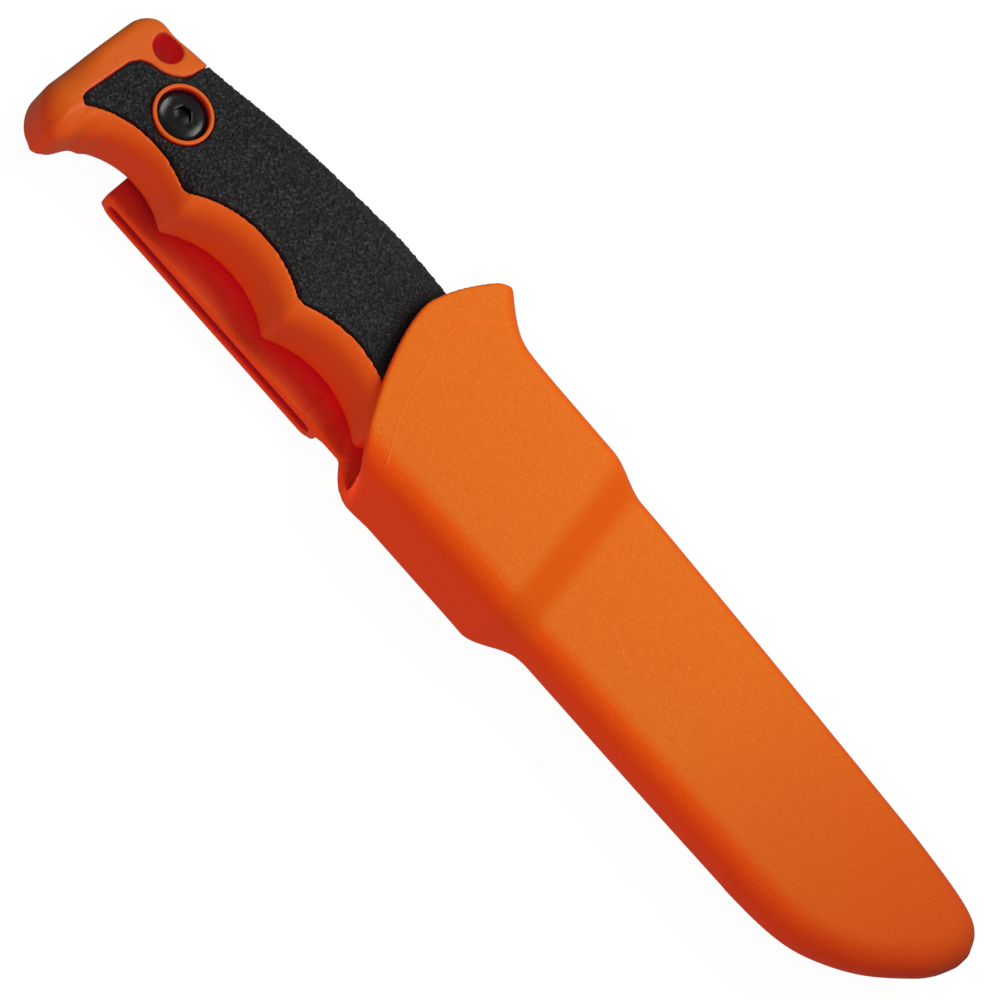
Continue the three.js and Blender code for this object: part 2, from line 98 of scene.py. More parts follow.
SCREW_X, SCREW_Y = 19.5, -0.7
BOSS_RADIUS = 5.55
BOSS_TOP = 8.0
POST_RADIUS = BOSS_RADIUS - 0.3
POST_TOP = HANDLE_HALF - 1
RING_FOOT = 4.0
RING_CORNER = 0.15
HEAD_RADIUS = 4.72
HEAD_HEIGHT = 2.6
HEAD_EDGE = 1.2
HEAD_CORNER = 0.15
HEAD_FLAT = 2.2
SEAT_Z = 5.0
SOCKET_ACROSS_FLATS = 3.0
SOCKET_DEPTH = 1.5
SOCKET_CHAMFER = [(0.16, 0), (0.04, 0.06), (0, 0.2)]
DRILL_RADIUS = 0.5
DRILL_DEPTH = 0.35
SCREW_RADIUS = 2.4
SCREW_END = -2.0
SCREW_CHAMFER = 0.3
BARREL_RADIUS = 3.5
BARREL_END = 4.7
BARREL_FLOOR = 2.5
BORE_GAP = 0.3
SEAT_GAP = 0.25
CLOSE_GAP = 0.12
LANYARD_X, LANYARD_Y, LANYARD_RADIUS = 9.25, 6.0, 2.9
LANYARD_ROUNDING = 0.35

BLADE_HALF = 1.5
EDGE_HALF = 0.12
BLADE_HEEL = 110.0
BLADE_TIP = 207.0
PLUNGE_START = 114.0
PLUNGE_END = 117.0
GRIND_LINE = 0.55
GRIND_SOFTNESS = 0.1
MICRO_BEVEL = 0.6
FULL_THICKNESS_DEPTH = 12
SPINE_CORNER = 0.35
TANG_START = 12.6
TANG_INSET = 0.05
TANG_OVERLAP = 0.3

SHEATH_START = 58
SHEATH_END = 214.9
TIP_FROM = SHEATH_END - 22
TIP_TO = SHEATH_END - 6
POCKET_HALF = 10.1
POCKET_BELLY = -18.95
POCKET_RADIUS = 4.0
BELLY_SOFTENING = 1.6
SOFTER_BELOW = (-10, 0)
SOFTER_IN_FRONT = (-2, 3)
MOUTH_FLARE = 0.4
FLARE_FADE = (88, 93)
POCKET_WALL = 2.0
SCABBARD_HALF = 5.6
SCABBARD_TIP_HALF = 4.9
SCABBARD_THINNING = (150, 210)
SCABBARD_BELLY = -16.2
SCABBARD_RADIUS = 3.6
SCABBARD_WALL = 2.4
POCKET_TO_SCABBARD = (110, 125)
STEP_X = 118.3
STEP_HALF_WIDTH = 5.0
STEP_SLANT = 0.155
BELLY_STEP = (116.0, 128.0)
BELLY_TURN = 178
HOLLOW_END = 211.2
HOLLOW_TURN = (180, 200)
HOLLOW_RADIUS_LOSS = 0.6
TIP_ROUNDING = 6.0
TIP_FULLNESS = 0.96
LIP_FLARE_FROM = 19.45
LIP_SHARE = 0.45

LOOP_START, LOOP_END, PLATE_END = 20.7, 75.0, 92.0
LOOP_TOP = -8.3
STRAP = 1.8
STRAP_EDGE = 0.6
STRAP_DEPTH = 3.2 * STRAP
BLOCK_DROP = 0.2
BELT_GAP = 4.2
LOOP_HALF_WIDTH = 13.1
LOOP_TAPER = 0.27
LOOP_CORNER = 3.5
LOOP_FILLET = 1.5
LOOP_FILLET_FROM = LOOP_END - 4
SLOT_CORNER = 1.2
SLOT_ROUNDING = 0.4
EDGE_ROUNDING = 0.5
RIM_ROUNDING = 0.7
RIM_TILT = 0.7
RIM_TILT_IN = (-10.1, -7.6)
RIM_TILT_OUT = (-6, 6)
RIM_SLOPE = 0.95
HOLLOW_OPENS = 76
BEAD_RADIUS = 0.32
BEAD_SUNK = 0.2
BEAD_START, BEAD_END = -18.2, 19.4
BEAD_GROWN = -16.4
BEAD_SHRINKS = 15
BEAD_THINNEST = 0.25
BEAD_LOSS_AT_SPINE = 0.8

# ---- small maths ----


def mix(a, b, t):
    """From a where t is 0 to b where t is 1."""
    return a + (b - a) * t


def smoothstep(start, end, x):
    """0 up to the start, 1 from the end on, smooth between them."""
    t = np.clip((x - start) / (end - start), 0, 1)
    return t * t * (3 - 2 * t)


def smooth_max(a, b, blend):
    """The greater of two, with their crossing smoothed over this much difference."""
    h = np.maximum(blend - np.abs(a - b), 0) / blend
    return np.maximum(a, b) + h * h * blend * 0.25


def rounded_union(a, b, radius):
    """Joins two fields with a fillet in the corner between them."""
    return np.maximum(radius, np.minimum(a, b)) - np.hypot(
        np.maximum(radius - a, 0), np.maximum(radius - b, 0))


def rounded_overlap(a, b, radius):
    """What two fields share, with its new edges rounded."""
    return np.minimum(-radius, np.maximum(a, b)) + np.hypot(
        np.maximum(radius + a, 0), np.maximum(radius + b, 0))


def curve(points):
    """A smooth function through points whose first numbers rise."""
    xs, ys = np.array(points, float).T
    before = np.maximum(np.arange(len(xs)) - 1, 0)
    after = np.minimum(np.arange(len(xs)) + 1, len(xs) - 1)
    slopes = (ys[after] - ys[before]) / (xs[after] - xs[before])

    def at(x):
        i = np.clip(np.searchsorted(xs, x) - 1, 0, len(xs) - 2)
        span = xs[i + 1] - xs[i]
        t = np.clip((x - xs[i]) / span, 0, 1)
        t2, t3 = t * t, t * t * t
        return ((2 * t3 - 3 * t2 + 1) * ys[i] + (t3 - 2 * t2 + t) * span * slopes[i]
                + (3 * t2 - 2 * t3) * ys[i + 1] + (t3 - t2) * span * slopes[i + 1])

    return at


# ---- fields ----


def axes(low, high, cell):
    """The X, Y and Z of a box of samples, shaped so that they combine into the whole box."""
    x, y, z = (np.arange(a, b + cell, cell) for a, b in zip(low, high))
    return x[:, None, None], y[None, :, None], z[None, None, :]


def outline_distance(outline, x, y):
    """Signed distance to a closed outline, over samples in X and Y."""
    nearest = np.full(np.broadcast_shapes(x.shape, y.shape), np.inf)
    inside = np.zeros(nearest.shape, bool)
    for (x0, y0), (x1, y1) in zip(outline, np.roll(outline, -1, axis=0)):
        across, up = x1 - x0, y1 - y0
        squared = across * across + up * up
        if squared == 0:
            continue
        t = np.clip(((x - x0) * across + (y - y0) * up) / squared, 0, 1)
        nearest = np.minimum(nearest, (x - x0 - t * across) ** 2 + (y - y0 - t * up) ** 2)
        if up != 0:
            beside = (y > min(y0, y1)) & (y <= max(y0, y1))
            inside ^= beside & (x < x0 + (y - y0) * across / up)
    return np.where(inside, -1, 1) * np.sqrt(nearest)


def rounded_slab(edge, z, half, radius):
    """A slab of an outline, from the distance to the outline, with rounded edges."""
    a = edge + radius
    b = np.abs(z) - (half - radius)
    return np.minimum(np.maximum(a, b), 0) + np.hypot(np.maximum(a, 0), np.maximum(b, 0)) - radius


def rod(x, y, radius):
    """An endless round rod along Z."""
    return lambda at_x, at_y: np.hypot(at_x - x, at_y - y) - radius


# ---- skins ----


def surface_net(field, low, cell):
    """Points and four-sided faces on the surface where a sampled field is zero."""
    inside = field < 0
    strides = np.array([field.shape[1] * field.shape[2], field.shape[2], 1])
    rings, crossings = [], []
    for axis in range(3):
        step, u, v = (np.eye(3, dtype=int)[(axis + turn) % 3] for turn in range(3))
        near = inside[tuple(slice(0, -1) if s else slice(None) for s in step)]
        far = inside[tuple(slice(1, None) if s else slice(None) for s in step)]
        corner = np.argwhere(near != far)
        a = field[tuple(corner.T)]
        b = field[tuple((corner + step).T)]
        ring = np.stack([(corner - back) @ strides for back in (u + v, v, 0 * u, u)], axis=1)
        rings.append(np.where((a < 0)[:, None], ring, ring[:, ::-1]))
        crossings.append(corner + step * (a / (a - b))[:, None])
    rings, crossings = np.concatenate(rings), np.concatenate(crossings)
    _, cells = np.unique(rings, return_inverse=True)
    cells = cells.reshape(-1)
    count = np.bincount(cells)
    points = [np.bincount(cells, weights=np.repeat(c, 4)) / count for c in crossings.T]
    return np.stack(points, axis=1) * cell + np.array(low), cells.reshape(-1, 4)


def turns_of(segments):
    """Angles once around, evenly spaced."""
    return np.arange(segments) * 2 * math.pi / segments


def ring_faces(rings, segments, closed=False):
    """Faces around a stack of rings. A closed stack's last ring joins its first, and any
    other stack gets a cap at each end."""
    faces = []
    for ring in range(rings if closed else rings - 1):
        here, there = ring * segments, (ring + 1) % rings * segments
        for i in range(segments):
            j = (i + 1) % segments
            faces.append((here + i, here + j, there + j, there + i))
    if not closed:
        faces.append(tuple(range(segments))[::-1])
        faces.append(tuple(range((rings - 1) * segments, rings * segments)))
    return faces


def turned_over(faces):
    """The same faces, seen from their other side."""
    return [face[:1] + face[:0:-1] for face in faces]


def lathe(profile, x, y, segments, outlines=None):
    """Points and faces of a closed turned form. A profile step is a radius and a Z; outlines
    may replace a step's circle by another radius for each angle."""
    turns = turns_of(segments)
    rings = []
    for i, (radius, z) in enumerate(profile):
        reach = radius * (outlines[i](turns) if outlines and outlines[i] else np.ones(segments))
        rings.append(np.stack([x + reach * np.cos(turns), y + reach * np.sin(turns),
                               np.full(segments, z)], axis=1))
    return np.concatenate(rings), ring_faces(len(rings), segments)


def tube_ring(profile, x, y, segments, side):
    """A closed turned ring, which may go round a hole, mirrored in Z where side is -1."""
    turns = turns_of(segments)
    rings = [np.stack([x + r * np.cos(turns), y + r * np.sin(turns),
                       np.full(segments, side * z)], axis=1) for r, z in profile]
    faces = ring_faces(len(rings), segments, closed=True)
    return np.concatenate(rings), faces if side > 0 else turned_over(faces)


def tube(centres, radii, sides=14):
    """A closed round tube along a line of points."""
    ahead = np.gradient(centres, axis=0)
    ahead /= np.linalg.norm(ahead, axis=1)[:, None]
    beside = np.cross(ahead, [0, 0, 1.0])
    beside /= np.linalg.norm(beside, axis=1)[:, None]
    above = np.cross(beside, ahead)
    turns = turns_of(sides)
    rings = (centres[:, None] + radii[:, None, None]
             * (np.cos(turns)[None, :, None] * beside[:, None]
                + np.sin(turns)[None, :, None] * above[:, None]))
    # these rings turn clockwise about the line, so their faces are turned over
    return rings.reshape(-1, 3), turned_over(ring_faces(len(rings), sides))


def join(*parts):
    """Several sets of points and faces as one."""
    points, faces, start = [], [], 0
    for part_points, part_faces in parts:
        points.append(np.asarray(part_points))
        faces.extend(tuple(int(i) + start for i in face) for face in part_faces)
        start += len(part_points)
    return np.concatenate(points), faces


def place(name, points, faces, material, body, node, slot_name, sharp=None):
    """A piece of the object, in the frame, standing for one CAD node. Its edges look sharp
    where they turn by more than so many degrees."""
    mesh = bpy.data.meshes.new(name)
    moved = np.asarray(points) / 1000 + np.array(ORIGIN)
    mesh.from_pydata(moved.tolist(), [], [tuple(int(i) for i in face) for face in faces])
    mesh.polygons.foreach_set("use_smooth", np.ones(len(mesh.polygons), bool))
    if sharp:
        mesh.set_sharp_from_angle(angle=math.radians(sharp))
    mesh.materials.append(material)
    piece = bpy.data.objects.new(name, mesh)
    bpy.context.scene.collection.objects.link(piece)
    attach(piece, body)
    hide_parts(node)
    return piece


def store(piece, name, values):
    """Keeps one number for each of a piece's points, for its material to read."""
    layer = piece.data.attributes.new(name, "FLOAT", "POINT")
    layer.data.foreach_set("value", np.asarray(values, np.float32))


# ---- handle ----

handle_spine = curve([(0, 9.3), (4.5, 9.7), (9, 10.7), (18, 11.9), (35, 14.9), (57, 17.15),
                      (64, 17.25), (81, 16.5), (109, 15.8)])


def groove_arc(groove, x):
    """The arc of one finger groove, far below everything beside it."""
    centre, depth, radius = groove
    across = np.abs(x - centre)
    rise = np.sqrt(np.maximum(radius ** 2 - across ** 2, 0))
    return np.where(across < radius, depth - radius + rise, -1e3)


def handle_belly(x):
    """Y of the handle's lower side: the hook, the finger grooves and the guard."""
    hook = HOOK_DEPTH + HOOK_SLOPE * np.minimum(x, HOOK_SLOPE_END)
    y = np.where(x < FINGER_GROOVES[1][0], hook, GUARD_DEPTH)
    for i, groove in enumerate(FINGER_GROOVES):
        y = smooth_max(y, groove_arc(groove, x), CREST_BLEND if i else HOOK_BLEND)
    return y


def handle_outline():
    """The handle seen from the front, with its corners rounded."""
    step = 0.3
    quarter = 1 - np.cos(np.linspace(0, math.pi / 2, 20))
    x = np.concatenate([HOOK_CORNER * quarter,
                        np.arange(HOOK_CORNER + step, HANDLE_END - END_RADIUS, step),
                        HANDLE_END - END_RADIUS * quarter[::-1]])

    def drawn_in(corner):
        corner = np.where(x < HANDLE_END / 2, corner, END_RADIUS)
        into = np.maximum(corner - np.minimum(x, HANDLE_END - x), 0)
        return corner - np.sqrt(corner ** 2 - into ** 2)

    def side(y):
        near_pommel = 1 - smoothstep(0, POMMEL_FADE, x)
        lean = POMMEL_START + POMMEL_SLANT * np.maximum(y - POMMEL_SLANT_FROM, 0)
        return np.stack([x + near_pommel * lean, y], axis=1)

    top = side(handle_spine(x) - drawn_in(POMMEL_CORNER))
    bottom = side(handle_belly(x) + drawn_in(HOOK_CORNER))
    return np.concatenate([bottom, top[::-1]])


def handle_field(x, y, z):
    """The whole handle, core and rubber as one form."""
    edge = outline_distance(handle_outline(), x, y)
    radius = mix(BELLY_RADIUS, SPINE_RADIUS, smoothstep(*BELLY_TO_SPINE, y))
    from_pommel = x - POMMEL_START - POMMEL_SLANT * np.maximum(y - POMMEL_SLANT_FROM, 0)
    end_radius = mix(HOOK_CORNER, POMMEL_EDGE, smoothstep(*HOOK_TO_POMMEL, y))
    radius = mix(end_radius, radius, smoothstep(*POMMEL_TO_GRIP, from_pommel))
    radius = mix(radius, END_RADIUS, smoothstep(HANDLE_END - END_FADE, HANDLE_END, x))
    ripples = np.cos(2 * math.pi * (x - RIPPLE_CREST) / RIPPLE_PITCH)
    ripples = ripples * smoothstep(*RIPPLES_START, x) * (1 - smoothstep(*RIPPLES_END, x))
    ripples = ripples * (1 - smoothstep(*RIPPLES_TOP, y))
    return rounded_slab(edge, z, HANDLE_HALF, radius) + RIPPLE_HEIGHT * ripples


def grip_window(x, y):
    """Distance to the rubber's window, seen from the front; it runs on over the spine."""
    below = np.arange(GRIP_START, GRIP_END, 0.5)
    lower = np.full(below.shape, GRIP_LOWEST)
    for groove in GRIP_GROOVES:
        lower = smooth_max(lower, groove_arc(groove, below), CREST_BLEND)
    pommel_side = [(15.8, BEYOND_SPINE), (15.8, 9.3), (15.5, 6), (14.8, 4.3), (13.5, 2.9),
                   (11.7, 1.8), (9.2, 1.1), (7.8, 0.2), (6.9, -1.6), (6.1, -11.7), (6.4, -12.9),
                   (7.5, -13.4)]
    outline = np.concatenate([np.stack([below, lower], axis=1),
                              [(GRIP_END, BEYOND_SPINE)], pommel_side])
    return outline_distance(outline, x, y)


def pebbles(points):
    """Height of close-set grains at scattered points: 0 in the valleys, 1 on the tops. It
    comes from how much nearer a point is to its nearest grain's middle than to the next."""
    jitter = np.random.default_rng(PEBBLE_SEED).random((PEBBLE_TILE,) * 3 + (3,))
    scaled = points / PEBBLE_PITCH
    cell = np.floor(scaled).astype(int)
    first = np.full(len(points), np.inf)
    second = first.copy()
    for step in np.ndindex(3, 3, 3):
        corner = cell + np.array(step) - 1
        grain = corner + jitter[tuple((corner % PEBBLE_TILE).T)]
        distance = np.linalg.norm(scaled - grain, axis=1)
        second = np.minimum(second, np.maximum(first, distance))
        first = np.minimum(first, distance)
    return smoothstep(0, PEBBLE_VALLEY, second - first)


def boss_ring(side):
    """The raised ring around the screw's head, with its upper edges rounded."""
    outer, inner = BOSS_RADIUS, HEAD_RADIUS + CLOSE_GAP
    profile = [(outer, RING_FOOT), (outer, BOSS_TOP - RING_CORNER),
               (outer - 0.05, BOSS_TOP - 0.04), (outer - 0.16, BOSS_TOP),
               (inner + 0.16, BOSS_TOP), (inner + 0.06, BOSS_TOP - 0.04),
               (inner, BOSS_TOP - RING_CORNER), (inner, RING_FOOT)]
    return tube_ring(profile, SCREW_X, SCREW_Y, 128, side)


def build_core():
    """The hard core: the handle without the rubber's recess, the screw's seats and bore, the
    lanyard hole and the tang's slot."""
    low, high, cell = (-1, -23, -9), (111, 19, 9), 0.36
    x, y, z = axes(low, high, cell)
    handle = handle_field(x, y, z)
    window = grip_window(x, y)
    recess = np.maximum(window - SEAM, -(handle + GRIP_THICKNESS + SEAM))
    core = rounded_overlap(handle, -recess, CORE_SEAM_ROUNDING)
    post = rod(SCREW_X, SCREW_Y, POST_RADIUS)(x, y)
    core = np.minimum(core, np.maximum(post, np.abs(z) - POST_TOP))
    core = np.maximum(core, -rod(SCREW_X, SCREW_Y, BARREL_RADIUS + BORE_GAP)(x, y))
    seats = np.maximum(rod(SCREW_X, SCREW_Y, HEAD_RADIUS + SEAT_GAP)(x, y), SEAT_Z - np.abs(z))
    core = np.maximum(core, -seats)
    lanyard = rod(LANYARD_X, LANYARD_Y, LANYARD_RADIUS)(x, y)
    core = rounded_overlap(core, -lanyard, LANYARD_ROUNDING)
    tang_slot = np.maximum(outline_distance(np.array(TANG_OUTLINE), x, y) - CLOSE_GAP,
                           np.abs(z) - BLADE_HALF - CLOSE_GAP)
    core = np.maximum(core, -tang_slot)
    points, faces = join(surface_net(core, low, cell), boss_ring(1), boss_ring(-1))
    place("grip_frame", points, faces, MATERIALS["core"], "knife", "handle_core",
          "core_plastic")


def build_rubber():
    """The rubber over both faces and the spine, with its grain in the mesh."""
    low, high, cell = (5, -16, -9), (94, 19, 9), 0.27
    x, y, z = axes(low, high, cell)
    handle = handle_field(x, y, z)
    window = grip_window(x, y)
    outer = handle.copy()
    near = np.abs(handle) < 3 * cell
    near_window = np.broadcast_to(window, handle.shape)[near]
    grains = pebbles(np.argwhere(near) * cell) - PEBBLE_MIDDLE
    outer[near] -= PEBBLE_HEIGHT * grains * (1 - smoothstep(*GRAIN_TO_EDGE, near_window))
    rubber = rounded_overlap(outer, window + SEAM / 2 + 0 * z, RUBBER_SEAM_ROUNDING)
    rubber = np.maximum(rubber, -(handle + GRIP_THICKNESS))
    rubber = np.maximum(rubber, -rod(SCREW_X, SCREW_Y, BOSS_RADIUS + CLOSE_GAP)(x, y))
    points, faces = surface_net(rubber, low, cell)
    piece = place("grip_rubber", points, faces, MATERIALS["rubber"], "knife",
                  "grip_overmould", "grip_rubber")
    # the grains' heights, for the rubber's painted shade between them
    store(piece, "grain_height", pebbles(points - np.array(low)))


# ---- blade ----

TANG_OUTLINE = [(TANG_START, -4.6), (30, -4.6), (100, -5.5), (112, -5.5), (112, 11.5),
                (96, 11.5), (30, 5.4), (TANG_START, 5)]
blade_spine = curve([(110, 13.3), (140, 13.2), (170, 12.6), (190, 11), (207, 6.4)])
blade_edge = curve([(110, -11.4), (160, -11.8), (178, -10.4), (192, -5.8), (201, 0.4),
                    (207, 5.4)])


def blade_section(x):
    """Points around the blade at one station: down the front to the edge, and up the back."""
    top, bottom = float(blade_spine(x)), float(blade_edge(x))
    depth = top - bottom
    ground = float(smoothstep(PLUNGE_START, PLUNGE_END, x))
    half = mix(EDGE_HALF, BLADE_HALF, float(smoothstep(0, FULL_THICKNESS_DEPTH, depth)))
    edge_half = mix(half, EDGE_HALF, ground)
    grind = mix(bottom, top, GRIND_LINE)
    corner = min(SPINE_CORNER, half * 0.5)
    front = [(top, half - corner),
             (top - corner * 0.3, half - corner * 0.3),
             (top - corner, half),
             (grind + GRIND_SOFTNESS, half),
             (grind - GRIND_SOFTNESS, mix(half, edge_half, 0.02)),
             (bottom + MICRO_BEVEL, mix(edge_half, half, 0.05)),
             (bottom, edge_half * mix(1, 0.3, ground))]
    return [(x, y, z) for y, z in front] + [(x, y, -z) for y, z in front[::-1]]


def build_blade():
    """Flat sides down to the grind line, then a bevel to the edge, with a short plain heel.
    The stations are closest at the tip and where the bevel starts."""
    stations = BLADE_HEEL + (BLADE_TIP - BLADE_HEEL) * np.sin(np.linspace(0, math.pi / 2, 120))
    plunge = [PLUNGE_START, PLUNGE_START + 0.6, PLUNGE_END - 0.6, PLUNGE_END]
    beyond = stations[stations > PLUNGE_END + 0.3]
    sections = [blade_section(x) for x in [BLADE_HEEL, *plunge, *beyond]]
    points = np.array(sections).reshape(-1, 3)
    faces = ring_faces(len(sections), len(sections[0]))
    points, faces = join((points, faces), tang())
    place("blade_steel", points, faces, MATERIALS["steel"], "knife", "blade", "blade_steel",
          sharp=20)


def tang():
    """A flat plate inside the handle that runs a little way into the blade."""
    half = BLADE_HALF - TANG_INSET
    end = BLADE_HEEL + TANG_OVERLAP
    points = [(min(x, end), y, z) for z in (-half, half) for x, y in TANG_OUTLINE]
    return np.array(points), ring_faces(2, len(TANG_OUTLINE))


# ---- screw and barrel nut ----


def hexagon(turns):
    """Radius of a hexagon at each angle, as a share of its radius across the flats."""
    sector = math.pi / 3
    return 1 / np.cos((turns - sector / 4) % sector - sector / 2)


def button_head(shank):
    """A domed head with a hexagon socket; shank is the profile below the seat, from its end."""
    top = SEAT_Z + HEAD_HEIGHT
    apothem = SOCKET_ACROSS_FLATS / 2
    profile = list(shank)
    profile += [(HEAD_RADIUS - HEAD_CORNER, SEAT_Z), (HEAD_RADIUS, SEAT_Z + HEAD_CORNER)]
    for turn in np.linspace(0, math.pi / 2, 14):
        profile.append((mix(HEAD_FLAT, HEAD_RADIUS, math.cos(turn)),
                        SEAT_Z + HEAD_EDGE + (HEAD_HEIGHT - HEAD_EDGE) * math.sin(turn)))
    rounds = len(profile)
    socket = [*SOCKET_CHAMFER, (0, SOCKET_DEPTH)]
    profile += [(apothem + out, top - down) for out, down in socket]
    profile.append((DRILL_RADIUS, top - SOCKET_DEPTH - DRILL_DEPTH))
    outlines = [None] * rounds + [hexagon] * len(socket) + [None]
    return lathe(profile, SCREW_X, SCREW_Y, 96, outlines)


def build_fasteners():
    """The screw from the front, and from the back the nut whose barrel the screw turns in."""
    screw = button_head([(SCREW_RADIUS - SCREW_CHAMFER, SCREW_END),
                         (SCREW_RADIUS, SCREW_END + SCREW_CHAMFER), (SCREW_RADIUS, SEAT_Z)])
    place("button_screw", *screw, MATERIALS["oxide"], "knife", "handle_screw",
          "black_oxide_steel", sharp=35)
    bore = SCREW_RADIUS + BORE_GAP
    points, faces = button_head([(bore, BARREL_FLOOR), (bore, -BARREL_END),
                                 (BARREL_RADIUS, -BARREL_END), (BARREL_RADIUS, SEAT_Z)])
    place("barrel_nut_fine", points * np.array([1, 1, -1]), turned_over(faces),
          MATERIALS["oxide"], "knife", "barrel_nut", "black_oxide_steel", sharp=35)


# ---- sheath ----

sheath_spine = curve([(60, 25.6), (78.2, 25.4), (80.2, 24), (82.6, 22.1), (86, 20.1),
                      (89.5, 19.4), (104, 19), (122, 18.7), (162, 17.1), (196, 15.7),
                      (205.5, 15.2), (210.6, 14), (213.3, 12), (214.9, 8.8)])
sheath_tip_belly = curve([(170, -16.2), (181, -16.2), (190.8, -15.2), (198, -12.6),
                          (205.2, -7.9), (211.5, -1), (213.6, 2.4), (214.9, 6.2)])
rim_front = curve([(-24, 83.4), (-19.5, 83), (-18.4, 82.7), (-16.2, 80.9), (-14.1, 79.4),
                   (-5.9, 75.2), (2.5, 72), (8.6, 70.8), (11.9, 71.2), (16.9, 72.9),
                   (22, 75.6), (25.4, 78.1), (30, 81)])
rim_back = curve([(-24, 86.6), (-19.4, 86.2), (-18, 85.2), (-17, 84.1), (-15.3, 82.4),
                  (-12.3, 79.9), (-10, 78.3), (0, 74.5), (10, 74), (20, 75.5), (30, 81)])
rim_share = curve([(-10.1, 0), (-8, 0), (-6, 0.05), (-2.5, 0.12), (2.5, 0.33), (6, 0.72),
                   (9, 1), (12, 1)])
bead_line = curve([(-18.9, 87.8), (-15.9, 85.9), (-13.1, 84.1), (-10, 82.4), (-6.4, 80.9),
                   (-2.7, 79.6), (0.4, 78.8), (3.5, 77.9), (6.6, 77.2), (9.8, 77.1),
                   (12.4, 77.9), (15, 79.2), (17, 81), (20.3, 84.4)])


def sheath_belly(x):
    """Y of the sheath's lower side, from the mouth to the tip."""
    flare = MOUTH_FLARE * (1 - smoothstep(*FLARE_FADE, x))
    straight = mix(POCKET_BELLY, SCABBARD_BELLY, smoothstep(*BELLY_STEP, x)) - flare
    return np.where(x > BELLY_TURN, sheath_tip_belly(x), straight)


def sheath_half(x, y):
    """Half the sheath's thickness: the deep pocket, the slanted step and the scabbard."""
    past = smoothstep(STEP_X - STEP_HALF_WIDTH, STEP_X + STEP_HALF_WIDTH, x + STEP_SLANT * y)
    scabbard = mix(SCABBARD_HALF, SCABBARD_TIP_HALF, smoothstep(*SCABBARD_THINNING, x))
    return mix(POCKET_HALF, scabbard, past)


def sheath_outline(end, wall_at):
    """The sheath seen from the front, or its hollow where a wall is taken off."""
    fine_from = end - 12
    x = np.concatenate([np.arange(SHEATH_START, fine_from, 0.5),
                        np.linspace(fine_from, end, 80)])
    wall = wall_at(x)
    ahead = x + wall * smoothstep(*HOLLOW_TURN, x)
    lip = np.maximum(sheath_spine(x) - LIP_FLARE_FROM, 0) * np.where(wall > 0, LIP_SHARE, 0)
    top = np.stack([x, sheath_spine(ahead) - wall - lip], axis=1)
    bottom = np.stack([x, sheath_belly(ahead) + wall], axis=1)
    return np.concatenate([bottom, top[::-1]])


def sheath_form(x, y, z, end, wall_at):
    """The sheath as one solid, or its hollow, with edges that round further in at the tip."""
    edge = outline_distance(sheath_outline(end, wall_at), x, y)
    wall = wall_at(x)
    half = sheath_half(x, y) - wall
    softer = (BELLY_SOFTENING * (1 - smoothstep(*SOFTER_BELOW, y))
              * smoothstep(*SOFTER_IN_FRONT, z))
    radius = mix(POCKET_RADIUS, SCABBARD_RADIUS, smoothstep(*POCKET_TO_SCABBARD, x))
    radius = radius + softer - wall * HOLLOW_RADIUS_LOSS
    at_tip = smoothstep(TIP_FROM, TIP_TO, x)
    radius = mix(radius, half * TIP_FULLNESS, at_tip)
    reach = mix(radius, TIP_ROUNDING, at_tip)
    return rounded_slab((edge + reach) * radius / reach - radius, z, half, radius)


def rim_x(y, z):
    """X of the mouth's edge: highest in front, lowest on the belly wall, with a tilted lip."""
    tilt = RIM_TILT * smoothstep(*RIM_TILT_IN, z) * (1 - smoothstep(*RIM_TILT_OUT, z))
    return mix(rim_back(y), rim_front(y), rim_share(z)) + tilt


def rounded_box_2d(a, b, low_a, high_a, low_b, high_b, radius):
    """Distance to an upright rectangle with rounded corners."""
    across = np.abs(a - (low_a + high_a) / 2) - (high_a - low_a) / 2 + radius
    up = np.abs(b - (low_b + high_b) / 2) - (high_b - low_b) / 2 + radius
    return (np.minimum(np.maximum(across, up), 0)
            + np.hypot(np.maximum(across, 0), np.maximum(up, 0)) - radius)


def belt_strap(x, y, z):
    """The plate behind the handle and the closed belt tunnel under it."""
    back = LOOP_TOP - 2 * STRAP - BELT_GAP
    plate = rounded_box_2d(x, z, LOOP_START, PLATE_END, LOOP_TOP - STRAP, LOOP_TOP, STRAP_EDGE)
    block = rounded_box_2d(x, z, LOOP_START, LOOP_END, back, LOOP_TOP - BLOCK_DROP, LOOP_CORNER)
    upper = rounded_box_2d(x, z, LOOP_START, LOOP_END, LOOP_TOP - STRAP_DEPTH, LOOP_TOP,
                           STRAP_EDGE)
    loop = np.minimum(block, upper)
    profile = np.where(x < LOOP_FILLET_FROM, loop, rounded_union(loop, plate, LOOP_FILLET))
    slot = rounded_box_2d(x, z, LOOP_START + STRAP, LOOP_END - STRAP, back + STRAP,
                          LOOP_TOP - STRAP, SLOT_CORNER)
    depth = np.maximum(LOOP_TOP - STRAP - z, 0)
    sides = np.abs(y) - (LOOP_HALF_WIDTH - LOOP_TAPER * depth)
    strap = rounded_overlap(profile + 0 * y, sides + 0 * x, EDGE_ROUNDING)
    return rounded_overlap(strap, -slot + 0 * y, SLOT_ROUNDING)


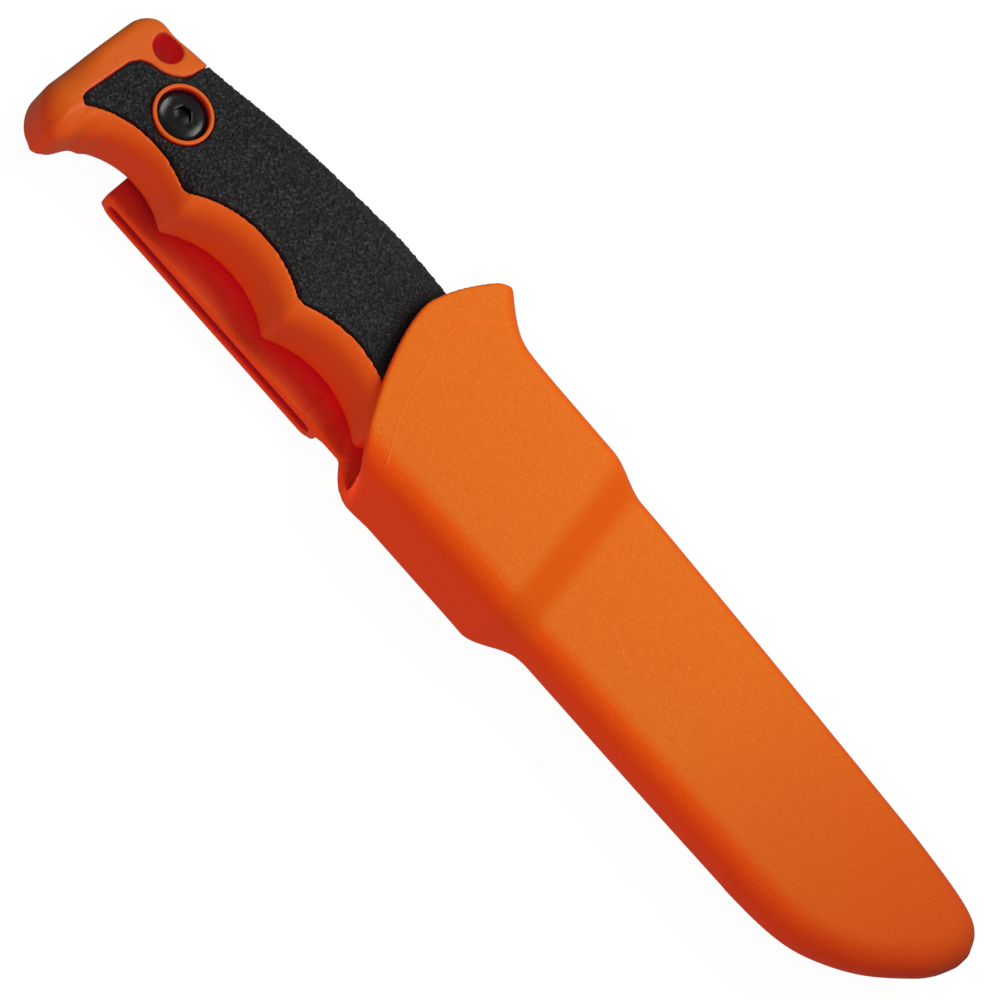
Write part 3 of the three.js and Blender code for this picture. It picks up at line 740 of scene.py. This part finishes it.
def build_sheath():
    """One moulding: the shell, cut off along its rim, the belt strap, and the raised line."""
    low, high, cell = (19, -21, -17.5), (216.5, 27.5, 11.5), 0.5
    x, y, z = axes(low, high, cell)
    outer = sheath_form(x, y, z, SHEATH_END, lambda at: 0 * at)
    hollow = sheath_form(x, y, z, HOLLOW_END, lambda at: mix(
        POCKET_WALL, SCABBARD_WALL, smoothstep(*POCKET_TO_SCABBARD, at)))
    mouth = (rim_x(y, z) - x) * RIM_SLOPE
    shell = rounded_overlap(np.maximum(outer, -hollow), mouth, RIM_ROUNDING)
    # the hollow cuts the strap inside the pocket only, and leaves it whole outside the mouth
    far_away = np.where(x < HOLLOW_OPENS, 9, 0)
    strap = np.maximum(belt_strap(x, y, z), -hollow - far_away)
    skin = surface_net(np.minimum(shell, strap), low, cell)
    points, faces = join(skin, rim_bead())
    piece = place("sheath_moulding", points, faces, MATERIALS["sheath"], "sheath",
                  "sheath_body", "sheath_plastic")
    # the raised line's points, where the material paints a highlight
    store(piece, "raised_line", np.arange(len(points)) >= len(skin[0]))


def corner_drop(from_side, radius):
    """How far a rounded edge has fallen at this distance from the side, short of the last
    bit, where it goes straight down."""
    into = np.clip(radius - from_side, 0, radius * 0.97)
    return radius - np.sqrt(radius ** 2 - into ** 2)


def rim_bead():
    """The thin raised line that follows the mouth's edge over the front face."""
    ys = np.linspace(BEAD_START, BEAD_END, 200)
    xs = bead_line(ys)
    grown = smoothstep(BEAD_START, BEAD_GROWN, ys)
    kept = 1 - BEAD_LOSS_AT_SPINE * smoothstep(BEAD_SHRINKS, BEAD_END, ys)
    radii = BEAD_RADIUS * mix(BEAD_THINNEST, 1, grown * kept)
    drop = corner_drop(sheath_spine(xs) - ys, POCKET_RADIUS)
    drop += corner_drop(ys - POCKET_BELLY + MOUTH_FLARE, POCKET_RADIUS + BELLY_SOFTENING)
    centres = np.stack([xs, ys, POCKET_HALF - drop - BEAD_SUNK], axis=1)
    return tube(centres, radii)


# ---- materials ----


def surface(name, colour, roughness, specular, metallic=0.0):
    """A material with its shader, and the object's own coordinates for its textures."""
    made = bpy.data.materials.new(name)
    made.use_nodes = True
    tree = made.node_tree
    shader = tree.nodes["Principled BSDF"]
    shader.inputs["Base Color"].default_value = (*colour, 1)
    shader.inputs["Roughness"].default_value = roughness
    shader.inputs["Specular IOR Level"].default_value = specular
    shader.inputs["Metallic"].default_value = metallic
    place_in = tree.nodes.new("ShaderNodeTexCoord").outputs["Object"]
    return made, tree, shader, place_in


def noise(tree, place_in, feature, detail, stretch=(1, 1, 1)):
    """Noise whose features are about this many millimetres across."""
    mapping = tree.nodes.new("ShaderNodeMapping")
    mapping.inputs["Scale"].default_value = [s * 1000 / feature for s in stretch]
    texture = tree.nodes.new("ShaderNodeTexNoise")
    texture.inputs["Scale"].default_value = 1
    texture.inputs["Detail"].default_value = detail
    tree.links.new(place_in, mapping.inputs["Vector"])
    tree.links.new(mapping.outputs["Vector"], texture.inputs["Vector"])
    return texture.outputs["Fac"]


def spread(tree, value, low, high, start=0.3, end=0.7):
    """Stretches a value's range, by default the middle of a noise, over another range."""
    node = tree.nodes.new("ShaderNodeMapRange")
    node.inputs["From Min"].default_value = start
    node.inputs["From Max"].default_value = end
    node.inputs["To Min"].default_value = low
    node.inputs["To Max"].default_value = high
    tree.links.new(value, node.inputs["Value"])
    return node.outputs["Result"]


def blended(tree, factor, first, second):
    """The first colour where the factor is 0, the second where it is 1. Each is a fixed
    colour or another node's output."""
    node = tree.nodes.new("ShaderNodeMix")
    node.data_type = "RGBA"
    tree.links.new(factor, node.inputs["Factor"])
    for name, colour in (("A", first), ("B", second)):
        if isinstance(colour, tuple):
            node.inputs[name].default_value = (*colour, 1)
        else:
            tree.links.new(colour, node.inputs[name])
    return node.outputs["Result"]


def bumped(tree, shader, height, depth):
    """A bump of so many millimetres on the shader's normal."""
    node = tree.nodes.new("ShaderNodeBump")
    node.inputs["Distance"].default_value = depth / 1000
    tree.links.new(height, node.inputs["Height"])
    tree.links.new(node.outputs["Normal"], shader.inputs["Normal"])


def stored(tree, name):
    """The number that a piece keeps for each of its points."""
    node = tree.nodes.new("ShaderNodeAttribute")
    node.attribute_name = name
    return node.outputs["Fac"]


def openness(tree, reach, start, end):
    """0 deep in a hollow, 1 where nothing stands within reach, in millimetres."""
    # the materials paint shade into hollows with this
    node = tree.nodes.new("ShaderNodeAmbientOcclusion")
    node.samples = 8
    node.inputs["Distance"].default_value = reach / 1000
    return spread(tree, node.outputs["AO"], 0, 1, start, end)


def along_x(tree, place_in, start, end):
    """0 up to one X in the frame, in metres, and 1 beyond another."""
    split = tree.nodes.new("ShaderNodeSeparateXYZ")
    tree.links.new(place_in, split.inputs["Vector"])
    return spread(tree, split.outputs["X"], 0, 1, start, end)


def slope(tree):
    """0 on the flat front and back faces, 1 on everything that leans away from them."""
    # the mask of the sheath's painted slope shade
    fully_shaded_slope, flat = 0.86, 0.985
    facing = tree.nodes.new("ShaderNodeTexCoord")
    split = tree.nodes.new("ShaderNodeSeparateXYZ")
    tree.links.new(facing.outputs["Normal"], split.inputs["Vector"])
    flatness = tree.nodes.new("ShaderNodeMath")
    flatness.operation = "ABSOLUTE"
    tree.links.new(split.outputs["Z"], flatness.inputs[0])
    return spread(tree, flatness.outputs[0], 1, 0, fully_shaded_slope, flat)


def sheath_material():
    """Orange plastic with a fine grain and painted light: glints speckle its flat faces, and
    painted shade makes its slopes purer, the part toward the tip redder, and its hollows
    red as if the light had been through it many times."""
    dark, light, painted_glint = (0.745, 0.149, 0.008), (0.79, 0.17, 0.012), (0.9, 0.24, 0.05)
    fully_shaded_slope, tip = (0.82, 0.117, 0.001), (0.66, 0.06, 0.006)
    hollow, raised = (0.92, 0.036, 0.062), (0.85, 0.18, 0.016)
    made, tree, shader, place_in = surface("orange_polymer", (0.77, 0.16, 0.01),
                                           roughness=0.5, specular=0.3)
    fine = noise(tree, place_in, 0.5, 3)
    glint_noise = noise(tree, place_in, 0.36, 1)
    coloured = blended(tree, spread(tree, fine, 0, 1, 0.36, 0.64), dark, light)
    # painted glints: light specks where the grain would catch the light
    coloured = blended(tree, spread(tree, glint_noise, 0, 0.8, 0.64, 0.76), coloured, painted_glint)
    # painted shade: slopes that lean away from the flat faces get a purer, deeper orange
    coloured = blended(tree, slope(tree), coloured, fully_shaded_slope)
    # painted shade: a deeper red toward the tip
    coloured = blended(tree, along_x(tree, place_in, start=0.045, end=0.125), coloured, tip)
    # painted shade: a deep red in hollows, standing for light that has been through the plastic
    # many times
    coloured = blended(tree, openness(tree, reach=14, start=0.25, end=0.88), hollow, coloured)
    # painted highlight: the raised line in a lighter orange
    coloured = blended(tree, stored(tree, "raised_line"), coloured, raised)
    tree.links.new(coloured, shader.inputs["Base Color"])
    tree.links.new(spread(tree, fine, 0.42, 0.58), shader.inputs["Roughness"])
    bumped(tree, shader, fine, 0.14)
    return made


def core_material():
    """Smoother orange plastic, with the same painted shade of red in its hollows."""
    dark, light, hollow = (0.715, 0.116, 0.006), (0.755, 0.131, 0.008), (1.0, 0.042, 0.07)
    made, tree, shader, place_in = surface("orange_grip_polymer", (0.735, 0.123, 0.007),
                                           roughness=0.45, specular=0.3)
    fine = noise(tree, place_in, 0.3, 3)
    coloured = blended(tree, spread(tree, fine, 0, 1, 0.36, 0.64), dark, light)
    # painted shade: a deep red in hollows
    coloured = blended(tree, openness(tree, reach=14, start=0.25, end=0.78), hollow, coloured)
    tree.links.new(coloured, shader.inputs["Base Color"])
    tree.links.new(spread(tree, fine, 0.37, 0.53), shader.inputs["Roughness"])
    bumped(tree, shader, fine, 0.02)
    return made


def rubber_material():
    """Charcoal rubber with painted shade between its grains and in the sheath mouth's shadow."""
    dark, light = (0.009, 0.009, 0.009), (0.051, 0.051, 0.052)
    shade = (0.0015, 0.0015, 0.0015)
    made, tree, shader, place_in = surface("pebbled_rubber", (0.02, 0.02, 0.021),
                                           roughness=0.6, specular=0.45)
    fleck = noise(tree, place_in, 0.48, 2.5)
    toned = blended(tree, spread(tree, fleck, 0, 1, 0.4, 0.62), dark, light)
    grain = spread(tree, stored(tree, "grain_height"), 0, 1, 0.15, 0.75)
    # painted shade in the valleys between the grains
    toned = blended(tree, grain, shade, toned)
    # painted shadow where the rubber is hemmed in, darkest by the sheath's mouth
    toned = blended(tree, openness(tree, reach=12, start=0.78, end=0.975), shade, toned)
    tree.links.new(toned, shader.inputs["Base Color"])
    glint = spread(tree, noise(tree, place_in, 0.8, 1), 0.62, 0.2, 0.63, 0.71)
    tree.links.new(glint, shader.inputs["Roughness"])
    bumped(tree, shader, fleck, 0.6)
    return made


def oxide_material():
    """Blackened steel with a faintly mottled gloss."""
    made, tree, shader, place_in = surface("black_oxide", (0.006, 0.006, 0.0065),
                                           roughness=0.28, specular=0.28)
    mottle = noise(tree, place_in, 0.6, 4)
    tree.links.new(spread(tree, mottle, 0.2, 0.3), shader.inputs["Roughness"])
    bumped(tree, shader, noise(tree, place_in, 0.12, 2), 0.006)
    return made


def steel_material():
    """Satin steel, brushed along the blade."""
    made, tree, shader, place_in = surface("satin_blade", (0.56, 0.57, 0.58),
                                           roughness=0.3, specular=0.5, metallic=1.0)
    brushing = noise(tree, place_in, 0.12, 4, stretch=(0.012, 1, 1))
    tree.links.new(spread(tree, brushing, 0.22, 0.38), shader.inputs["Roughness"])
    bumped(tree, shader, brushing, 0.004)
    return made


# ---- stage, lights and camera ----
#
# In metres, but for the sensor and AIM, which are in millimetres; AIM is on the part's own axes.

CAMERA_DISTANCE = 1.9
VIEW_WIDTH = 0.1698
SENSOR = 36.0
ROLL = math.radians(48.4)
ELEVATION = math.radians(60)
AIM = (103.84, 0.0, 0.0)
STAGE_RADIUS = 6
FLOOR_GAP = 0.0002


def build_camera():
    """Looks from 60 degrees above the belly's side, rolled so that the tip points down right."""
    up_slope = Vector((0, math.sin(ELEVATION), math.cos(ELEVATION)))
    back = Vector((0, -math.cos(ELEVATION), math.sin(ELEVATION)))
    along = Vector((1, 0, 0))
    right = along * math.cos(ROLL) + up_slope * math.sin(ROLL)
    up = up_slope * math.cos(ROLL) - along * math.sin(ROLL)
    data = bpy.data.cameras.new("camera")
    data.sensor_width = SENSOR
    data.lens = SENSOR * CAMERA_DISTANCE / VIEW_WIDTH
    camera = bpy.data.objects.new("camera", data)
    turn = Matrix((right, up, back)).transposed().to_4x4()
    aim = Vector(AIM) / 1000 + ORIGIN
    camera.matrix_world = Matrix.Translation(aim + back * CAMERA_DISTANCE) @ turn
    bpy.context.scene.collection.objects.link(camera)
    bpy.context.scene.camera = camera


def area_light(name, position, target, size, power, colour=(1, 1, 1), spread_angle=180):
    """A lamp in metres and watts that the camera doesn't see."""
    data = bpy.data.lights.new(name, "AREA")
    data.shape = "RECTANGLE"
    data.size, data.size_y = size
    data.energy = power
    data.color = colour
    data.spread = math.radians(spread_angle)
    light = bpy.data.objects.new(name, data)
    direction = Vector(target) - Vector(position)
    light.rotation_mode = "QUATERNION"
    light.rotation_quaternion = direction.to_track_quat("-Z", "Y")
    light.location = position
    light.visible_camera = False
    bpy.context.scene.collection.objects.link(light)
    return light


def pieces_with(*words):
    return [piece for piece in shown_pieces() if any(word in piece.name for word in words)]


def light_only(light, pieces):
    """Lets a light fall on these pieces and on nothing else."""
    lit = bpy.data.collections.new("lit_by_" + light.name)
    for piece in pieces:
        lit.objects.link(piece)
    light.light_linking.receiver_collection = lit


def build_lights():
    """Lamps that light and make no highlights, lamps that only make highlights, and an even
    pale sky. All lamps but the key fall on chosen pieces only."""
    key = area_light("key", (0.0, 0.12, 0.30), (-0.02, 0, 0.01), (0.24, 0.18), 0.86)
    warm = area_light("warm_fill", (0.0, -0.5, 0.05), (0, 0, 0.012), (0.5, 0.12), 1.25,
                      (1.0, 0.08, 0.06))
    strap = area_light("strap_glow", (-0.052, -0.11, 0.08), (-0.052, -0.014, 0.008),
                       (0.053, 0.02), 0.0006, (1.0, 0.1, 0.3), spread_angle=26)
    mouth = area_light("mouth_glow", (-0.066, -0.0203, 0.0205), (-0.026, -0.0193, 0.0148),
                       (0.006, 0.006), 0.00024, (1.0, 0.26, 0.12), spread_angle=20)
    for lamp in (key, warm, strap, mouth):
        lamp.visible_glossy = False
    light_only(warm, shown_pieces())
    light_only(strap, pieces_with("sheath"))
    light_only(mouth, pieces_with("sheath"))

    beyond_tip, screw = (0.122, 0.175, 0.237), (-0.088, 0, 0.02)
    gloss = area_light("gloss", beyond_tip, screw, (0.18, 0.18), 0.6)
    far_sheen = area_light("screw_gloss", beyond_tip, screw, (0.15, 0.15), 1.4)
    near_sheen = area_light("screw_sheen", (-0.27, 0.06, 0.2), screw, (0.16, 0.16), 0.7)
    card = area_light("blade_card", (-0.05, 0.25, 0.45), (-0.05, 0, 0.016), (0.6, 0.25), 0.5)
    for lamp in (gloss, far_sheen, near_sheen, card):
        lamp.visible_diffuse = False
    light_only(gloss, pieces_with("grip", "blade", "screw", "nut"))
    light_only(far_sheen, pieces_with("screw", "nut"))
    light_only(near_sheen, pieces_with("screw", "nut"))
    light_only(card, pieces_with("blade"))

    world = bpy.data.worlds.new("studio")
    world.use_nodes = True
    background = world.node_tree.nodes["Background"]
    background.inputs["Color"].default_value = (1, 0.97, 0.95, 1)
    background.inputs["Strength"].default_value = 0.22
    bpy.context.scene.world = world


def white_stage(name, glow, grey):
    """A pale surface that mostly glows, so that shadows on it stay faint."""
    made = bpy.data.materials.new(name)
    made.use_nodes = True
    shader = made.node_tree.nodes["Principled BSDF"]
    shader.inputs["Base Color"].default_value = (grey, grey, grey, 1)
    shader.inputs["Roughness"].default_value = 0.9
    shader.inputs["Specular IOR Level"].default_value = 0.0
    shader.inputs["Emission Color"].default_value = (1, 1, 1, 1)
    shader.inputs["Emission Strength"].default_value = glow
    return made


def build_stage():
    """A floor a hair below the object, and a backdrop all round. Both only show to the camera:
    they light and shade nothing."""
    bpy.ops.mesh.primitive_circle_add(vertices=96, radius=STAGE_RADIUS, fill_type="NGON")
    floor = bpy.context.object
    floor.name = "floor"
    floor.location.z = -FLOOR_GAP
    floor.data.materials.append(white_stage("floor_white", 0.965, 0.1))
    bpy.ops.mesh.primitive_uv_sphere_add(segments=64, ring_count=32, radius=STAGE_RADIUS)
    dome = bpy.context.object
    dome.name = "backdrop"
    dome.data.materials.append(white_stage("backdrop_white", 1.0, 0.0))
    for thing in (floor, dome):
        thing.visible_diffuse = False
        thing.visible_glossy = False
        thing.visible_shadow = False
    bpy.context.scene.view_settings.view_transform = "Standard"


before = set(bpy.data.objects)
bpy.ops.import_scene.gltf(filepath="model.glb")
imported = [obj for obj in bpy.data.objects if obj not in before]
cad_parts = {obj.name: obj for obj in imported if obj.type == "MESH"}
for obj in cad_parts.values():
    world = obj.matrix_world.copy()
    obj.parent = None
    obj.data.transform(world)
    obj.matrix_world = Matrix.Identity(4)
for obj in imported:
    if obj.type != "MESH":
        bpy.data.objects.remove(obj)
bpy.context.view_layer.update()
screw_low, screw_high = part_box("handle_screw")
ORIGIN = Vector((
    (screw_low.x + screw_high.x) / 2 - SCREW_X / 1000,
    (screw_low.y + screw_high.y) / 2 - SCREW_Y / 1000,
    screw_high.z - (SEAT_Z + HEAD_HEIGHT) / 1000,
))

MATERIALS = {
    "sheath": sheath_material(),
    "core": core_material(),
    "rubber": rubber_material(),
    "oxide": oxide_material(),
    "steel": steel_material(),
}

build_camera()
build_sheath()
build_core()
build_rubber()
build_blade()
build_fasteners()
build_lights()
build_stage()
